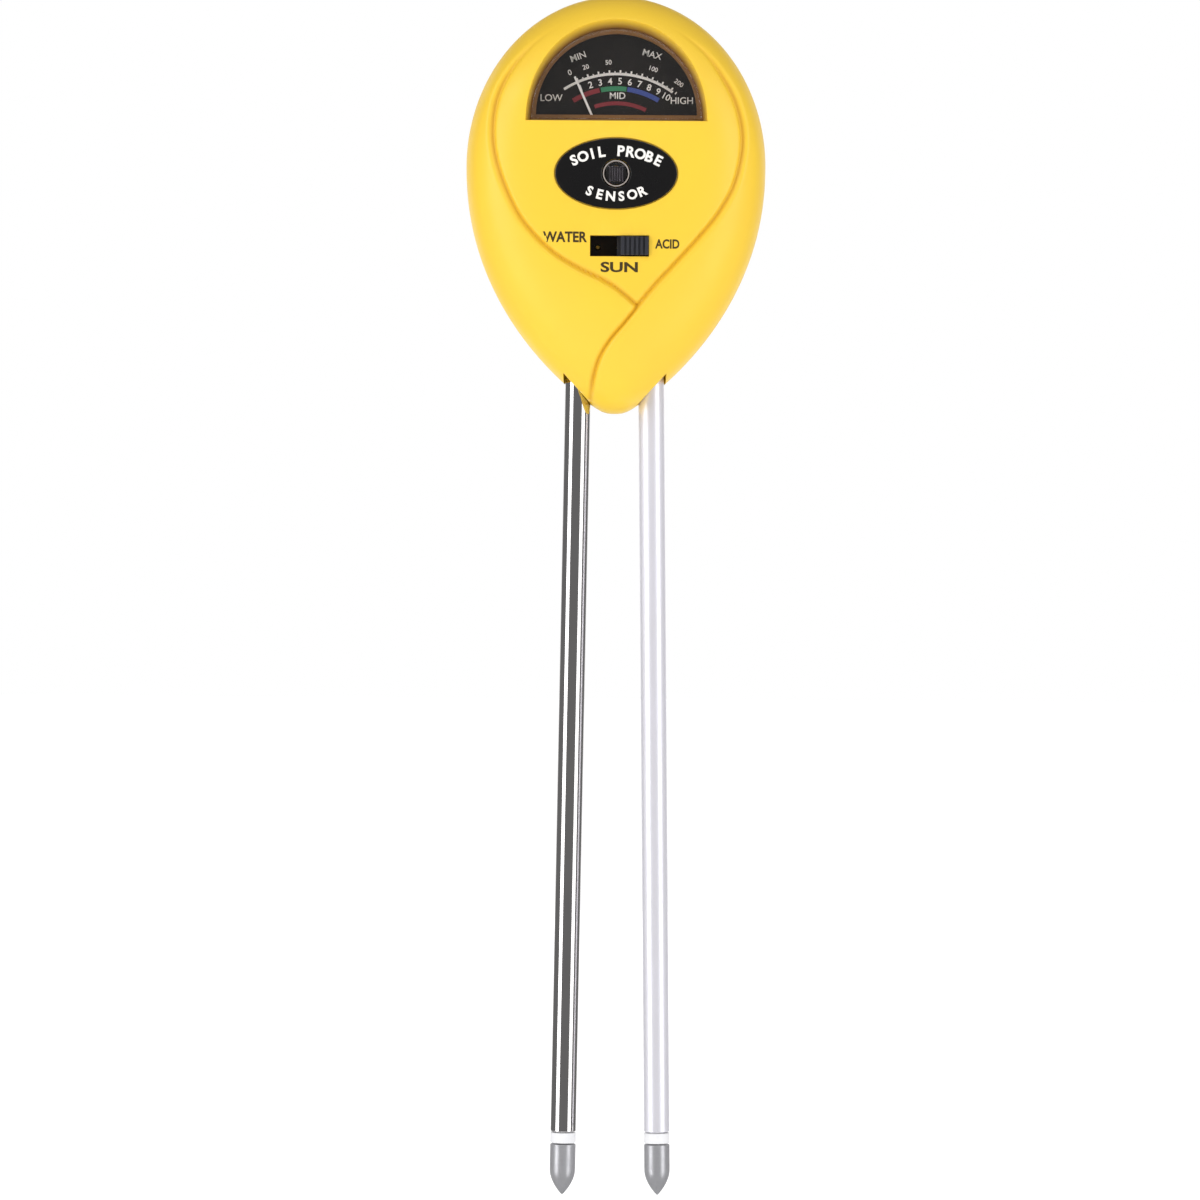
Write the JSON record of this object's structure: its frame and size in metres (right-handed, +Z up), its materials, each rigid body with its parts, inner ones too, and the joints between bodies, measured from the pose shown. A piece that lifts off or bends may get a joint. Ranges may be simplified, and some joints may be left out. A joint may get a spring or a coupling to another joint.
{
  "type": "soil moisture meter",
  "caption": "Hand-held soil meter: two metal probes under a pebble-shaped head with a pointer dial, light cell and slide switch.",
  "frame": {"origin": "midway between the points of the two probe tips", "axes": "+Z up along the meter from the tips to the head, -Y the way the dial faces, +X to the right seen from the dial side"},
  "size_m": [0.0698, 0.0328, 0.28],
  "materials": {
    "yellow_abs": "moulded, soft gloss",
    "clear_styrene": "clear",
    "black_print": "printed black",
    "black_plastic": "moulded",
    "white_paint": "white paint",
    "white_plastic": "moulded",
    "nickel": "bright nickel",
    "aluminium": "satin",
    "zinc": "cast",
    "steel": "plated",
    "brass": "bright",
    "copper": "lacquered winding",
    "ferrite": "sintered",
    "phenolic": "laminate",
    "green_board": "solder mask",
    "silicon_cell": "dark glaze",
    "red_wire": "insulation",
    "black_wire": "insulation",
    "tan_ceramic": "coated"
  },
  "bodies": {
    "case": {"front_cover": "yellow_abs", "rear_cover": "yellow_abs", "dial_lens": "clear_styrene", "dial_plate": "black_print", "dial_screw_left": "steel", "dial_screw_right": "steel", "badge_plate": "black_print", "sensor_bezel": "white_plastic", "sensor_window": "clear_styrene", "light_cell": "silicon_cell", "circuit_board": "green_board", "board_screw_left": "steel", "board_screw_right": "steel", "switch_shell": "steel", "switch_base": "phenolic", "switch_pin_left": "brass", "switch_pin_middle": "brass", "switch_pin_right": "brass", "movement_frame": "black_plastic", "yoke_ring": "steel", "core_magnet": "ferrite", "core_bridge": "brass", "front_hairspring": "brass", "rear_hairspring": "brass", "front_jewel_screw": "brass", "rear_jewel_screw": "brass", "movement_screw_left": "steel", "movement_screw_right": "steel", "left_probe_tube": "nickel", "right_probe_tube": "aluminium", "left_insulating_ring": "white_plastic", "right_insulating_ring": "white_plastic", "left_probe_tip": "zinc", "right_probe_tip": "zinc", "left_tip_wire": "red_wire", "right_tip_wire": "black_wire", "left_tube_terminal": "brass", "right_tube_terminal": "brass", "left_tube_lead": "black_wire", "right_tube_lead": "red_wire", "left_movement_lead": "red_wire", "right_movement_lead": "black_wire", "left_cell_lead": "red_wire", "right_cell_lead": "black_wire", "moisture_resistor": "tan_ceramic", "light_resistor": "tan_ceramic", "case_screw_left": "steel", "case_screw_right": "steel", "case_screw_low": "steel"},
    "needle": {"pointer": "white_paint", "moving_coil": "copper", "front_staff": "steel", "rear_staff": "steel"},
    "switch": {"switch_knob": "black_plastic", "contact_bridge": "brass"}
  },
  "joints": [
    {"name": "needle_swing", "type": "hinge", "parent": "case", "child": "needle", "pos_m": [0, 0, 0.239], "axis": [0, 1, 0], "range_deg": [-9.5, 59], "stiffness_Nm_per_rad": 0.00001, "deforming": ["front_hairspring", "rear_hairspring"]},
    {"name": "switch_slide", "type": "slide", "parent": "case", "child": "switch", "axis": [1, 0, 0], "range_m": [-0.007, 0]}
  ]
}
